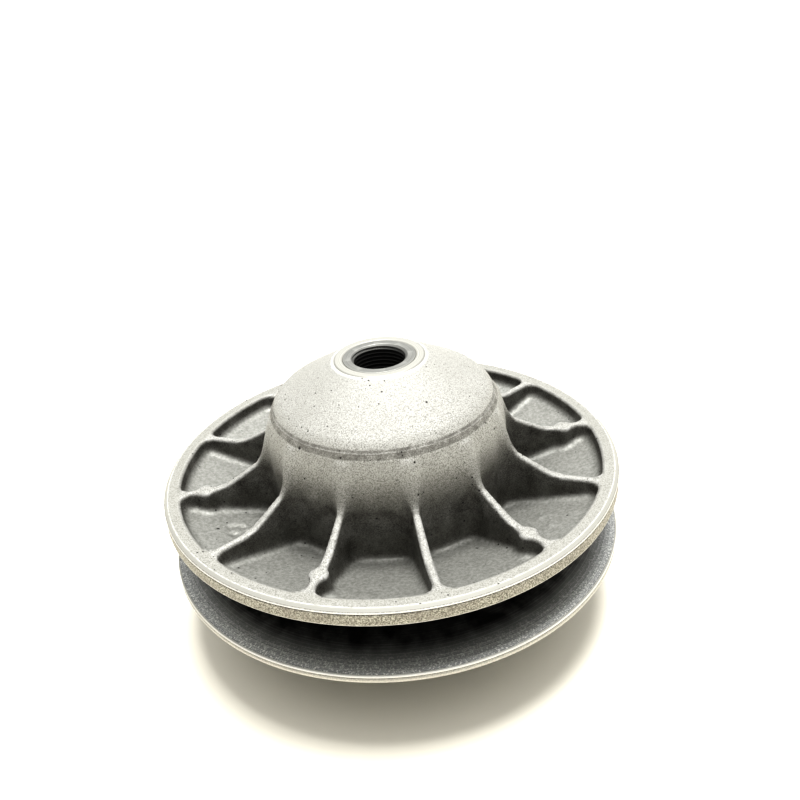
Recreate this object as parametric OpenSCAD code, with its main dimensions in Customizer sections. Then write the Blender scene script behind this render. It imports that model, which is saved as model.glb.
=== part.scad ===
// Driven pulley of a belt drive: a ribbed fixed sheave with a domed hub, a
// sliding sheave below it, and the spring, torque cam and rollers that close them.
// The axis is Z and the domed hub points up. The torque cam's foot stands on Z = 0.

/* [Sheaves] */
// Outer radius of both sheaves
sheave_r = 115; // [112:0.5:118]
// Angle of each belt face to the plane of the sheaves, in degrees
belt_angle = 14; // [13.8:0.1:14.2]
// Height of the fixed sheave's rim top above the foot
rim_top = 80; // [80:0.1:80.4]
// Depth of the fixed sheave's rim, measured along the axis
fixed_rim_t = 8.5; // [7.5:0.1:9]
// Depth of the moving sheave's rim
moving_rim_t = 4.1; // [3.6:0.1:4.6]
// Axial gap between the two rims with the sheaves closed
rim_gap = 28; // [27.8:0.1:28.4]
// Radial width of each rim
rim_w = 8.0; // [7:0.1:11]
// Thickness of each web, measured along the axis
web_t = 3.4; // [3:0.1:4]

/* [Dome] */
// Outer radius of the hub wall
dome_r = 60; // [59:0.5:61]
// Height of the dome's flat top above the rim top
dome_h = 57.7; // [57.4:0.1:60]
// Thickness of the dome's wall
dome_wall = 5; // [4:0.5:5.5]
// Radius of the flat spot face on the dome's top
spot_r = 22.3; // [22:0.1:24]

/* [Ribs] */
// Number of ribs round each sheave
rib_count = 12; // [12:6:24]
// Thickness of a rib
rib_t = 4.0; // [2.6:0.1:5]
// Radius at which a rib's level outer part starts to climb to the hub
rib_knee_r = 84.5; // [80:0.5:90]
// Height of a rib above the rim top where it meets the dome
rib_rise = 17; // [14:0.5:20]
// Radius of the round boss on every other rib
boss_r = 4.4; // [3.5:0.1:5.5]
// Distance of those bosses from the axis
boss_at = 94; // [90:0.5:97]

/* [Post and bores] */
// Radius of the post where the moving sheave slides
post_r = 20; // [20:0.1:20]
// Radius of the post's head, flush with the dome's top
post_head_r = 17.9; // [17:0.1:18.5]
// Radius of the bore for the driven shaft
shaft_r = 11; // [10:0.5:11.5]
// Minor radius of the puller thread in the post's head
thread_r = 12.5; // [12:0.1:13]
// Length of the puller thread
thread_len = 32; // [26:1:34]

/* [Motion] */
// How far the moving sheave slides as the belt sinks into the groove
travel = 22; // [18:0.5:22]
// Advance of the cam's ramps, in mm for each radian of twist
ramp_lead = 43; // [43:0.5:46]
// Radius of the cam rollers
roller_r = 7; // [6.5:0.1:7]
// Radius of the spring's wire
wire_r = 2.75; // [2.2:0.05:3]

/* [Hidden] */
$fn = 96;

cast_colour = [0.66, 0.66, 0.63];
steel_colour = [0.45, 0.46, 0.47];
dark_colour = [0.13, 0.13, 0.14];
bronze_colour = [0.62, 0.47, 0.24];
nylon_colour = [0.86, 0.84, 0.76];

eps = 0.01;
slope = tan(belt_angle);

// Fixed sheave: belt face, land beside the hub, and dome.
land_r = dome_r + 1;
dome_in_r = dome_r - dome_wall;
function fixed_face(r) = rim_top - fixed_rim_t - (sheave_r - r) * slope;
function fixed_web(r) = fixed_face(r) + web_t;
dome_top = rim_top + dome_h;
shoulder_r = 44;
shoulder_turn = 27;
brow_r = 14;
crown_angle = 60;
brow_x = dome_r - shoulder_r + (shoulder_r - brow_r) * cos(shoulder_turn);
brow_end_x = brow_x + brow_r * cos(crown_angle);
brow_z = dome_top - brow_r * sin(crown_angle) - (brow_end_x - spot_r) / tan(crown_angle);
shoulder_z = brow_z - (shoulder_r - brow_r) * sin(shoulder_turn);
boss_bottom = 110;
hub_boss_r = 31;
edge = 0.8;

// Moving sheave and the cup pressed into it.
moving_top = rim_top - fixed_rim_t - rim_gap;
moving_bottom = moving_top - moving_rim_t;
function moving_face(r) = moving_top + (sheave_r - r) * slope;
function moving_web(r) = moving_face(r) - web_t;
cup_r = 51.5;
cup_in_r = 47.5;
ledge_z = 52;
cup_top = 106;
cup_roof_t = 6;
sleeve_in_r = 23;
sleeve_out_r = 28;
sleeve_bottom = 62;
skirt_r = 54;
skirt_bottom = 34;
fit_gap = 0.05;
body_gap = 0.3;

// Cam, pins and rollers. Each roller's pin points away from the axis.
pin_z = 44;
pin_r = 3;
pin_in = 38.4;
pin_out = 57;
pin_boss_r = 7;
pin_boss_out = 58;
pin_turn = 15;
clip_at = 39.1;
clip_t = 0.7;
clip_r = 4.6;
groove_r = 2.2;
roller_in = 40.2;
roller_out = 45.8;
bush_r = 4.5;
screw_r = 2;
screw_at = 50.8;
ramp_in = 39.8;
ramp_out = 46.2;
ramp_drop = 10.8;
ramp_steps = 24;
ramp_high_z = pin_z - ramp_drop;
ramp_lead_in = 7.1;
foot_t = 8;
foot_r = 50;
cam_hub_r = 28;
cam_hub_top = 16;
recess_r = 24;
recess_z = 5.6;
ring_z = 12;
spigot_r = 17;
post_bottom = 1.5;
key_w = 5;
shaft_key_w = 6;
shaft_key_r = 13.8;
shaft_key_top = 80;
ring_groove_r = 15.6;
ring_groove_z = 2.6;
ring_t = 1.4;
ring_opening = 9;
foot_pocket_turn = 90;
foot_pocket_start = 15;
foot_pocket_depth = 3;
foot_pocket_w = 15;
hex_socket_r = 1.15;
hex_socket_depth = 1.5;

// Spring and its seats.
spring_r = 33;
spring_turns = 6.5;
end_turns = 1;
end_pitch = 2 * wire_r + 0.3;
wire_sides = 8;
rings_per_turn = 20;
seat_in_r = 29;
seat_out_r = 38.5;
seat_t = 2.5;
upper_seat_t = 3;
seat_low_top = foot_t + seat_t;
seat_up_bottom = cup_top - cup_roof_t - body_gap - upper_seat_t;

function arc(x, z, r, from, to, steps = 6) =
  [for (i = [0:steps]) let (a = from + (to - from) * i / steps) [x + r * cos(a), z + r * sin(a)]];

// Half section of the dome's skin, set in by an offset from the outer surface.
function dome_line(inset) = concat(
  arc(dome_r - shoulder_r, shoulder_z, shoulder_r - inset, 0, shoulder_turn),
  arc(brow_x, brow_z, brow_r - inset, shoulder_turn + 4, crown_angle)
);

module ring(inner, outer, bottom, top) {
  rotate_extrude()
    translate([inner, bottom]) square([outer - inner, top - bottom]);
}

// A block along X, centred on Y, between two radii and two heights.
module key_block(width, inner, outer, bottom, top) {
  translate([inner, -width / 2, bottom]) cube([outer - inner, width, top - bottom]);
}

// A rib standing on the XZ plane, drawn from its side outline.
module rib(outline) {
  rotate([90, 0, 0]) linear_extrude(rib_t, center = true) polygon(outline);
}

module round_ribs(count) {
  for (i = [0:count - 1]) rotate([0, 0, i * 360 / count]) children();
}

// Everything on the k-th of the three roller stations, with X pointing outwards.
module station(k) {
  rotate([0, 0, pin_turn + 120 * k]) children();
}

module radial_rod(r, inner, outer) {
  translate([inner, 0, pin_z]) rotate([0, 90, 0]) cylinder(r = r, h = outer - inner);
}

module fixed_section() {
  rim_in = sheave_r - rim_w;
  inner_top = dome_line(dome_wall);
  inner_end = inner_top[len(inner_top) - 1];
  polygon(concat(
    [[post_head_r, boss_bottom], [post_head_r, dome_top], [spot_r, dome_top]],
    [for (i = [len(dome_line(0)) - 1:-1:0]) dome_line(0)[i]],
    [[dome_r, fixed_web(dome_r)], [rim_in - 0.4, fixed_web(rim_in - 0.4)], [rim_in, rim_top],
     [sheave_r - 2 * edge, rim_top], [sheave_r, rim_top - 2 * edge],
     [sheave_r, fixed_face(sheave_r) + edge], [sheave_r - edge, fixed_face(sheave_r - edge)],
     [land_r, fixed_face(land_r)], [dome_in_r + edge, fixed_face(land_r)],
     [dome_in_r, fixed_face(land_r) + edge]],
    inner_top,
    [[hub_boss_r, inner_end[1] + (inner_end[0] - hub_boss_r) / tan(crown_angle)],
     [hub_boss_r, boss_bottom]]
  ));
}

module fixed_sheave() color(cast_colour) {
  rotate_extrude($fn = 180) fixed_section();
  root_r = dome_r - 3;
  outer_r = sheave_r - rim_w + 1;
  round_ribs(rib_count)
    rib([[root_r, fixed_web(root_r) - 1], [root_r, rim_top + rib_rise + 2],
         [dome_r + 1.5, rim_top + rib_rise - 2.5], [rib_knee_r, rim_top],
         [outer_r, rim_top], [outer_r, fixed_web(outer_r) - 1]]);
  round_ribs(rib_count / 2)
    translate([boss_at, 0, fixed_web(boss_at) - 1.5])
      cylinder(r = boss_r, h = rim_top - fixed_web(boss_at) + 1.5);
}

module post_section() {
  difference() {
    union() {
      translate([0, post_bottom]) square([spigot_r, cam_hub_top - post_bottom]);
      translate([0, cam_hub_top]) square([post_r, boss_bottom - cam_hub_top]);
      translate([0, boss_bottom]) square([post_head_r, dome_top - boss_bottom]);
    }
    square([shaft_r, dome_top + 1]);
    translate([0, dome_top - thread_len]) square([thread_r, thread_len + 1]);
    translate([ring_groove_r, ring_groove_z]) square([spigot_r, ring_t + 0.2]);
  }
}

module post() color(steel_colour) {
  difference() {
    rotate_extrude() post_section();
    key_block(key_w, spigot_r - key_w / 2, spigot_r + 1, recess_z, cam_hub_top);
    rotate([0, 0, 180]) key_block(shaft_key_w, 0, shaft_key_r, 0, shaft_key_top);
  }
}

module closing_bumper() color(dark_colour)
  ring(post_r + body_gap, hub_boss_r - 1, cup_top + 0.4, boss_bottom);

// One helical ramp: its top falls by ramp_lead for each radian it turns.
module ramp() {
  fall = (ramp_high_z - foot_t) / ramp_lead;
  first = -ramp_lead_in / ramp_lead;
  inner = ramp_in - 2;
  outer = ramp_out + 2;
  turns = [for (i = [0:ramp_steps]) first + (fall - first) * i / ramp_steps];
  function corner(r, a, z) = [r * cos(a * 180 / PI), r * sin(a * 180 / PI), z];
  points = [for (a = turns) each [
    corner(inner, a, foot_t - 1), corner(outer, a, foot_t - 1),
    corner(outer, a, ramp_high_z - ramp_lead * a), corner(inner, a, ramp_high_z - ramp_lead * a)]];
  sides = [for (i = [0:ramp_steps - 1], k = [0:3])
    [4 * i + k, 4 * i + (k + 1) % 4, 4 * i + 4 + (k + 1) % 4, 4 * i + 4 + k]];
  last = 4 * ramp_steps;
  polyhedron(concat(points), concat([[3, 2, 1, 0]], sides,
    [[last, last + 1, last + 2, last + 3]]), convexity = 6);
}

module torque_cam() color([0.42, 0.43, 0.44]) {
  difference() {
    union() {
      rotate_extrude() polygon([
        [spigot_r, recess_z], [recess_r, recess_z], [recess_r, 0], [foot_r - 1, 0],
        [foot_r, 1], [foot_r, foot_t - 1], [foot_r - 1, foot_t], [ramp_out, foot_t],
        [ramp_out, ring_z], [ramp_in, ring_z], [ramp_in, foot_t], [cam_hub_r, foot_t],
        [cam_hub_r, cam_hub_top], [spigot_r, cam_hub_top]]);
      intersection() {
        ring(ramp_in, ramp_out, foot_t - 0.5, cup_top);
        for (k = [0:2]) station(k) ramp();
      }
    }
    key_block(key_w, 0, spigot_r + key_w / 2, 0, cam_hub_top + 1);
    for (k = [0:2]) rotate([0, 0, 120 * k])
      rotate_extrude(angle = foot_pocket_turn, start = foot_pocket_start)
        translate([cam_hub_r + 1, -1]) square([foot_pocket_w, foot_pocket_depth + 1]);
  }
}

module cam_key() color(steel_colour)
  key_block(key_w, spigot_r - key_w / 2, spigot_r + key_w / 2, recess_z, cam_hub_top - 0.2);

module cam_washer() color(steel_colour)
  ring(spigot_r + 0.1, recess_r - 1, recess_z - ring_t, recess_z);

module retaining_ring() color(dark_colour)
  difference() {
    ring(ring_groove_r, recess_r - 3, ring_groove_z + 0.1, ring_groove_z + 0.1 + ring_t);
    key_block(ring_opening, -recess_r, 0, 0, recess_z);
  }

module stop_sleeve() color(steel_colour)
  ring(post_r + fit_gap, post_r + 6, cam_hub_top, sleeve_bottom - travel - 0.5);

module lower_spring_seat() color(nylon_colour)
  ring(seat_in_r, seat_out_r, foot_t, seat_low_top);

module upper_spring_seat() color(nylon_colour)
  ring(seat_in_r, seat_out_r, seat_up_bottom, seat_up_bottom + upper_seat_t);

// Height of the wire's centre after a number of turns; the end turns lie closed.
function coil_z(t) =
  let (low = seat_low_top + wire_r, high = seat_up_bottom - wire_r,
       rise = (high - low - 2 * end_turns * end_pitch) / (spring_turns - 2 * end_turns))
  t < end_turns ? low + t * end_pitch
  : t > spring_turns - end_turns ? high - (spring_turns - t) * end_pitch
  : low + end_turns * end_pitch + (t - end_turns) * rise;

module spring() color(dark_colour) {
  rings = floor(spring_turns * rings_per_turn);
  points = [for (i = [0:rings]) let (t = i * spring_turns / rings)
    for (k = [0:wire_sides - 1]) let (a = 360 * k / wire_sides, r = spring_r + wire_r * cos(a))
      [r * cos(360 * t), r * sin(360 * t), coil_z(t) + wire_r * sin(a)]];
  skin = [for (i = [0:rings - 1], k = [0:wire_sides - 1])
    [i * wire_sides + k, (i + 1) * wire_sides + k,
     (i + 1) * wire_sides + (k + 1) % wire_sides, i * wire_sides + (k + 1) % wire_sides]];
  first = [for (k = [0:wire_sides - 1]) k];
  last = [for (k = [wire_sides - 1:-1:0]) rings * wire_sides + k];
  polyhedron(points, concat([first], skin, [last]), convexity = 10);
}

module moving_section() {
  rim_in = sheave_r - rim_w;
  polygon([
    [cup_r, ledge_z], [cup_r, moving_face(land_r)], [land_r, moving_face(land_r)],
    [sheave_r - edge, moving_face(sheave_r - edge)], [sheave_r, moving_top - edge],
    [sheave_r, moving_bottom + edge], [sheave_r - edge, moving_bottom], [rim_in, moving_bottom],
    [rim_in - 0.3, moving_web(rim_in - 0.3)], [skirt_r, moving_web(skirt_r)],
    [skirt_r, skirt_bottom], [cup_in_r, skirt_bottom], [cup_in_r, ledge_z]]);
}

module moving_sheave() color(cast_colour) {
  root_r = skirt_r - 3;
  outer_r = sheave_r - rim_w + 1;
  difference() {
    union() {
      rotate_extrude($fn = 180) moving_section();
      round_ribs(rib_count)
        rib([[root_r, moving_web(root_r) + 1], [root_r, skirt_bottom + 1],
             [skirt_r + 2, skirt_bottom + 1], [rib_knee_r, moving_bottom],
             [outer_r, moving_bottom], [outer_r, moving_web(outer_r) + 1]]);
      round_ribs(rib_count / 2)
        translate([boss_at, 0, moving_bottom])
          cylinder(r = boss_r, h = moving_web(boss_at) + 1 - moving_bottom);
      for (k = [0:2]) station(k) radial_rod(pin_boss_r, cup_in_r + 2, pin_boss_out);
    }
    for (k = [0:2]) station(k) {
      radial_rod(pin_r, cup_in_r - 2, pin_boss_out + 1);
      translate([screw_at, 0, skirt_bottom - 1]) cylinder(r = screw_r + 0.1, h = pin_z - skirt_bottom);
    }
  }
}

module spring_cup() color([0.5, 0.5, 0.5])
  rotate_extrude() polygon([
    [cup_in_r, ledge_z], [cup_r, ledge_z], [cup_r, cup_top - 2], [cup_r - 2, cup_top],
    [sleeve_in_r + 1, cup_top], [sleeve_in_r, cup_top - 1], [sleeve_in_r, sleeve_bottom],
    [sleeve_out_r, sleeve_bottom], [sleeve_out_r, cup_top - cup_roof_t],
    [cup_in_r, cup_top - cup_roof_t]]);

module bushing(bottom, length) color(bronze_colour)
  ring(post_r + fit_gap, sleeve_in_r, bottom, bottom + length);

module upper_bushing() bushing(cup_top - 15.5, 14);

module lower_bushing() bushing(sleeve_bottom + 4, 14);

module wiper_ring() color(dark_colour)
  ring(post_r + body_gap, sleeve_in_r, sleeve_bottom + 0.4, sleeve_bottom + 3.6);

module pin_lock_screws() color(dark_colour)
  for (k = [0:2]) station(k) translate([screw_at, 0, skirt_bottom + 0.5])
    difference() {
      cylinder(r = screw_r, h = pin_z - pin_r - skirt_bottom - 0.8);
      translate([0, 0, -1]) cylinder(r = hex_socket_r, h = hex_socket_depth + 1, $fn = 6);
    }

module roller(k) color(dark_colour) station(k)
  difference() {
    radial_rod(roller_r, roller_in, roller_out);
    radial_rod(bush_r, roller_in - 1, roller_out + 1);
  }

module roller_bush(k) color(bronze_colour) station(k)
  difference() {
    radial_rod(bush_r, roller_in - 0.1, roller_out + 0.1);
    radial_rod(pin_r + fit_gap, roller_in - 1, roller_out + 1);
  }

module roller_pin(k) color(steel_colour) station(k)
  difference() {
    radial_rod(pin_r, pin_in, pin_out);
    difference() {
      radial_rod(pin_r + 1, clip_at, clip_at + clip_t);
      radial_rod(groove_r, clip_at - 1, clip_at + clip_t + 1);
    }
  }

module roller_clip(k) color(steel_colour) station(k)
  difference() {
    radial_rod(clip_r, clip_at, clip_at + clip_t);
    radial_rod(groove_r, clip_at - 1, clip_at + clip_t + 1);
    translate([clip_at - 1, -groove_r, pin_z]) cube([clip_t + 2, 2 * groove_r, clip_r + 1]);
  }

fixed_sheave();
post();
closing_bumper();
torque_cam();
cam_key();
cam_washer();
retaining_ring();
stop_sleeve();
lower_spring_seat();
spring();
upper_spring_seat();
moving_sheave();
spring_cup();
upper_bushing();
lower_bushing();
wiper_ring();
pin_lock_screws();
roller(0);  // roller_1
roller(1);  // roller_2
roller(2);  // roller_3
roller_bush(0);  // roller_bush_1
roller_bush(1);  // roller_bush_2
roller_bush(2);  // roller_bush_3
roller_pin(0);  // roller_pin_1
roller_pin(1);  // roller_pin_2
roller_pin(2);  // roller_pin_3
roller_clip(0);  // roller_clip_1
roller_clip(1);  // roller_clip_2
roller_clip(2);  // roller_clip_3
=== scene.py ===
"""Driven pulley of a belt drive: detailed castings, thread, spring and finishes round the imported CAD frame.

Shapes are worked out in millimetres from the axis and turned into metres where a mesh is made.
"""

import math

import bmesh
import bpy
import numpy as np
from mathutils import Matrix, Vector


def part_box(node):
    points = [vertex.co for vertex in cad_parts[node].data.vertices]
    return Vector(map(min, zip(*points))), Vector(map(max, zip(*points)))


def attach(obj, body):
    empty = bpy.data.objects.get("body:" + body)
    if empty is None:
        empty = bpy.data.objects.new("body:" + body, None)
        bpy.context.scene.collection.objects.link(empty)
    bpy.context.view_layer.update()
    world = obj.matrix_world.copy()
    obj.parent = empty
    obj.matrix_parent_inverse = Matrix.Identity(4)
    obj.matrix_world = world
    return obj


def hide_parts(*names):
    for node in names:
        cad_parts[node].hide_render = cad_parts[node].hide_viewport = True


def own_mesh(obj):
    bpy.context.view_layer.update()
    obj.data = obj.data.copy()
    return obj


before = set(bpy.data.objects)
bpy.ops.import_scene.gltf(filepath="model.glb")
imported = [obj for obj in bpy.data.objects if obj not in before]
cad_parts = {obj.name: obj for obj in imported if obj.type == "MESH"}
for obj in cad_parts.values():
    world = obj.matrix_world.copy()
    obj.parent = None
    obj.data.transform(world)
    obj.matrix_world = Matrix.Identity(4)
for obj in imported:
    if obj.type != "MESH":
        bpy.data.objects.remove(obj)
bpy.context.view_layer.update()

MM = 0.001


def box_mm(node):
    """A CAD node's lowest and highest corner, in millimetres."""
    low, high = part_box(node)
    return np.array(low) / MM, np.array(high) / MM


# ---- Driving dimensions in millimetres, read from the frame where a node's box states them ----
SHEAVE_R = box_mm("moving_sheave")[1][0]
DOME_TOP = box_mm("fixed_sheave")[1][2]
SKIRT_Z = box_mm("moving_sheave")[0][2]
CUP_R = box_mm("spring_cup")[1][0]
LEDGE_Z = box_mm("spring_cup")[0][2]
RIM_TOP = 80.0
FIXED_RIM = 8.5
MOVING_TOP = 43.5
MOVING_RIM = 4.1
RIM_W = 8.0
WEB_T = 3.4
SLOPE = math.tan(math.radians(14))
DOME_R = 60.0
SPOT_R = 22.3
HEAD_R = 17.9
LAND_R = DOME_R + 1
DOME_WALL = 5.0
HUB_BOSS_R = 31.0
HUB_BOSS_Z = 110.0
SKIRT_R = 54.0
SKIRT_IN_R = 47.5
RIB_T = 4.0
KNEE_R = 84.5
UPTURN_R = 69.0
BOSS_R = 4.4
BOSS_AT = 94.0
RIB_STEP = math.radians(30)
BOSS_STEP = math.radians(60)
POST_R = 20.0
SLIDE_R = 20.05
SHAFT_R = 11.0
PIN_Z = 44.0
STATION = math.radians(15)
THIRD = math.radians(120)
FOOT_T = 8.0
SPRING_R = 33.0
WIRE_R = 2.75
SPRING_TURNS = 6.5
CLIP_AT = 39.1
CLIP_T = 0.7
GROOVE_R = 2.2
RING_R = 15.6

# ---- Camera, floor and light ----
KEY_LIGHT = 3.4
SKY_LIGHT = 1.3
RIM_CENTRE = Vector((0, 0, RIM_TOP * MM))


def make_camera():
    """The camera, placed round the centre of the fixed sheave's rim."""
    azimuth, elevation, roll = (math.radians(d) for d in (-7.92, 32.19, 5.93))
    aside, below = (math.radians(d) for d in (-0.68, -3.66))
    distance = 0.4556
    back = Vector((math.sin(azimuth) * math.cos(elevation),
                   -math.cos(azimuth) * math.cos(elevation), math.sin(elevation)))
    right = Vector((math.cos(azimuth), math.sin(azimuth), 0))
    turned = Matrix((right, back.cross(right), back)).transposed() @ Matrix.Rotation(-roll, 3, "Z")
    seen = Vector((math.tan(aside), math.tan(below), -1))
    aim = Vector((0, 0, -1)).rotation_difference(seen).to_matrix()
    camera = bpy.data.objects.new("camera", bpy.data.cameras.new("camera"))
    bpy.context.scene.collection.objects.link(camera)
    camera.data.sensor_width = 36
    camera.data.lens = 39.74
    place = Matrix.Translation(RIM_CENTRE + back * distance)
    camera.matrix_world = place @ (turned @ aim.transposed()).to_4x4()
    bpy.context.scene.camera = camera


def sun(name, towards, spread, strength):
    """An even light from far away. Spread is how wide it looks, in degrees."""
    light = bpy.data.objects.new(name, bpy.data.lights.new(name, "SUN"))
    bpy.context.scene.collection.objects.link(light)
    light.data.angle = math.radians(spread)
    light.data.energy = strength
    light.rotation_euler = Vector(towards).to_track_quat("Z", "Y").to_euler()


def surround(lit, seen):
    """An even surround that lights the object dimly and shows as a pale background."""
    world = bpy.data.worlds.new("surround")
    world.use_nodes = True
    tree = world.node_tree
    path = tree.nodes.new("ShaderNodeLightPath")
    level = tree.nodes.new("ShaderNodeMapRange")
    level.inputs["To Min"].default_value = lit
    level.inputs["To Max"].default_value = seen
    tree.links.new(path.outputs["Is Camera Ray"], level.inputs["Value"])
    tree.links.new(level.outputs["Result"], tree.nodes["Background"].inputs["Strength"])
    tree.nodes["Background"].inputs["Color"].default_value = (1, 1, 1, 1)
    bpy.context.scene.world = world


def floor_and_light():
    """A white floor, a soft light overhead, a broad weaker one and an even pale surround."""
    bpy.ops.mesh.primitive_plane_add(size=200, location=(0, 0, 0))
    floor = bpy.context.object
    floor.name = "floor"
    paint = bpy.data.materials.new("floor_white")
    paint.use_nodes = True
    shader = paint.node_tree.nodes["Principled BSDF"]
    shader.inputs["Base Color"].default_value = (0.9, 0.865, 0.76, 1)
    shader.inputs["Roughness"].default_value = 0.7
    floor.data.materials.append(paint)
    sun("overhead", (0.10, 0.12, 1.0), 28, KEY_LIGHT)
    sun("sky_glow", (0.15, 0.15, 1.0), 120, SKY_LIGHT)
    surround(0.36, 1.0)
    view = bpy.context.scene.view_settings
    view.view_transform = "Standard"
    view.look = "High Contrast"


make_camera()
floor_and_light()


# ---- Distance fields: negative inside the metal ----
def round_union(a, b, r):
    """Joins two solids with a fillet of radius r."""
    u, v = np.maximum(r - a, 0), np.maximum(r - b, 0)
    return np.maximum(r, np.minimum(a, b)) - np.hypot(u, v)


def round_cut(a, b, r):
    """Keeps what is inside both solids, with the edge between them rounded to radius r."""
    u, v = np.maximum(r + a, 0), np.maximum(r + b, 0)
    return np.minimum(-r, np.maximum(a, b)) + np.hypot(u, v)


def nearest(theta, step):
    """Angle from the nearest multiple of step."""
    return (theta + step / 2) % step - step / 2


def eased_ramp(t, slope, ease):
    """Nothing below t = 0 and a straight ramp above, eased over a length of twice ease."""
    middle = slope * (t + ease) ** 2 / (4 * ease)
    return np.where(t < -ease, 0, np.where(t > ease, slope * t, middle))


def belt_height(rim_depth, r):
    """Height of a sheave's belt face, measured from its rim's plane on the ribbed side."""
    return -rim_depth - (SHEAVE_R - r) * SLOPE


class RibbedFace:
    """The ribbed side of a sheave. Heights run from the rim's plane towards the hub's end."""

    draft = 0.035
    edge_r = 0.75
    corner_fillet = 5.5

    def __init__(self, hub, rim_depth, hub_fillet, floor_fillet, rise, crest, upturn=0.0):
        """hub_fillet gives a radius for each height. The ribs' tops climb at a slope of rise to a crest,
        and turn up more steeply over their last millimetres before the hub."""
        self.hub = hub
        self.rim_depth = rim_depth
        self.hub_fillet = hub_fillet
        self.floor_fillet = floor_fillet
        self.rise = rise
        self.crest = crest
        self.upturn = upturn
        self.added = []
        self.holes = []

    def floor(self, r):
        return belt_height(self.rim_depth, r) + WEB_T

    def plan(self, r, theta, z):
        """Distance in plan to the nearest rib, rim or boss, all drafted."""
        turn = nearest(theta, RIB_STEP)
        rib = np.abs(r * np.sin(turn)) - (RIB_T / 2 - self.draft * z)
        rim = SHEAVE_R - RIM_W + self.draft * z - r
        turn = nearest(theta, BOSS_STEP)
        boss = np.hypot(r * np.cos(turn) - BOSS_AT, r * np.sin(turn)) - (BOSS_R - self.draft * z)
        return round_union(round_union(rib, rim, self.corner_fillet), boss, 1.6)

    def top(self, r, z):
        """Distance above the ribs' tops, which climb to the hub inside the knee."""
        reach = KNEE_R - r
        last = np.maximum(UPTURN_R - r, 0)
        height = eased_ramp(reach, self.rise, 5.0) + self.upturn * last**2
        lean = self.rise * np.clip((reach + 5.0) / 10.0, 0, 1) + 2 * self.upturn * last
        return (z - np.minimum(height, self.crest)) / np.sqrt(1 + lean**2)

    def field(self, r, theta, z):
        raised = round_cut(self.plan(r, theta, z), self.top(r, z), self.edge_r)
        floor = (z - self.floor(r)) * math.cos(math.atan(SLOPE))
        solid = round_union(raised, self.hub(r, z), self.hub_fillet(z))
        solid = round_union(solid, floor, self.floor_fillet)
        for part, fillet in self.added:
            solid = round_union(solid, part(r, theta, z), fillet)
        for hole, edge in self.holes:
            solid = round_cut(solid, -hole(r, theta, z), edge)
        return solid


# ---- Surface nets on a cylindrical grid ----
def crossings(values):
    """The mean of each cell's edge crossings, in grid units, and which cells have any."""
    nr, nt, nz = values.shape
    v = np.concatenate([values, values[:, :1]], axis=1)
    total = np.zeros((3, nr - 1, nt, nz - 1))
    count = np.zeros((nr - 1, nt, nz - 1))

    def corner(c):
        return v[c[0]:nr - 1 + c[0], c[1]:nt + c[1], c[2]:nz - 1 + c[2]]

    for axis in range(3):
        for a in (0, 1):
            for b in (0, 1):
                low = [a, b]
                low.insert(axis, 0)
                high = list(low)
                high[axis] = 1
                f0, f1 = corner(low), corner(high)
                hit = (f0 < 0) != (f1 < 0)
                share = np.where(hit, f0 / np.where(hit, f0 - f1, 1), 0)
                for k in range(3):
                    total[k] += hit * (share if k == axis else low[k])
                count += hit
    return total / np.maximum(count, 1), count > 0


def net_quads(values, index):
    """Quads round every grid edge that crosses the surface. The middle axis wraps."""
    inside = values < 0
    back = np.roll(index, 1, axis=1)
    wrapped = np.roll(inside, -1, axis=1)
    crossed = [
        (inside[:-1, :, 1:-1] != inside[1:, :, 1:-1],
         (back[:, :, :-1], index[:, :, :-1], index[:, :, 1:], back[:, :, 1:])),
        (inside[1:-1, :, 1:-1] != wrapped[1:-1, :, 1:-1],
         (index[:-1, :, :-1], index[1:, :, :-1], index[1:, :, 1:], index[:-1, :, 1:])),
        (inside[1:-1, :, :-1] != inside[1:-1, :, 1:],
         (back[:-1], back[1:], index[1:], index[:-1]))]
    return np.concatenate([
        np.stack([c[hit] for c in around], axis=1) for hit, around in crossed])


def gradient(field, p, step=0.02):
    """Field value and its slope along r, along the arc and along z."""
    r, t, z = p.T
    value = field(r, t, z)
    g = np.stack([
        field(r + step, t, z) - field(r - step, t, z),
        field(r, t + step / r, z) - field(r, t - step / r, z),
        field(r, t, z + step) - field(r, t, z - step)], axis=1) / (2 * step)
    return value, g


def settle(field, p, rounds=4):
    """Moves points onto the surface."""
    for _ in range(rounds):
        value, g = gradient(field, p)
        move = g * (value / np.maximum((g * g).sum(axis=1), 0.05))[:, None]
        size = np.linalg.norm(move, axis=1, keepdims=True)
        move *= np.minimum(1, 0.5 / np.maximum(size, 1e-9))
        p = p - move / np.stack([np.ones(len(p)), p[:, 0], np.ones(len(p))], axis=1)
    return p


def to_xyz(p):
    return np.stack([p[:, 0] * np.cos(p[:, 1]), p[:, 0] * np.sin(p[:, 1]), p[:, 2]], axis=1)


def face_out(p, quads, field):
    """Turns each quad so that it faces away from the metal."""
    xyz = to_xyz(p)
    a, b, c, d = (xyz[quads[:, k]] for k in range(4))
    normal = np.cross(c - a, d - b)
    centre = (a + b + c + d) / 4
    polar = np.stack([np.hypot(centre[:, 0], centre[:, 1]),
                      np.arctan2(centre[:, 1], centre[:, 0]), centre[:, 2]], axis=1)
    _, g = gradient(field, polar)
    cos, sin = np.cos(polar[:, 1]), np.sin(polar[:, 1])
    away = np.stack([g[:, 0] * cos - g[:, 1] * sin, g[:, 0] * sin + g[:, 1] * cos, g[:, 2]], axis=1)
    wrong = (normal * away).sum(axis=1) < 0
    quads[wrong] = quads[wrong][:, ::-1]
    return quads


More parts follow.
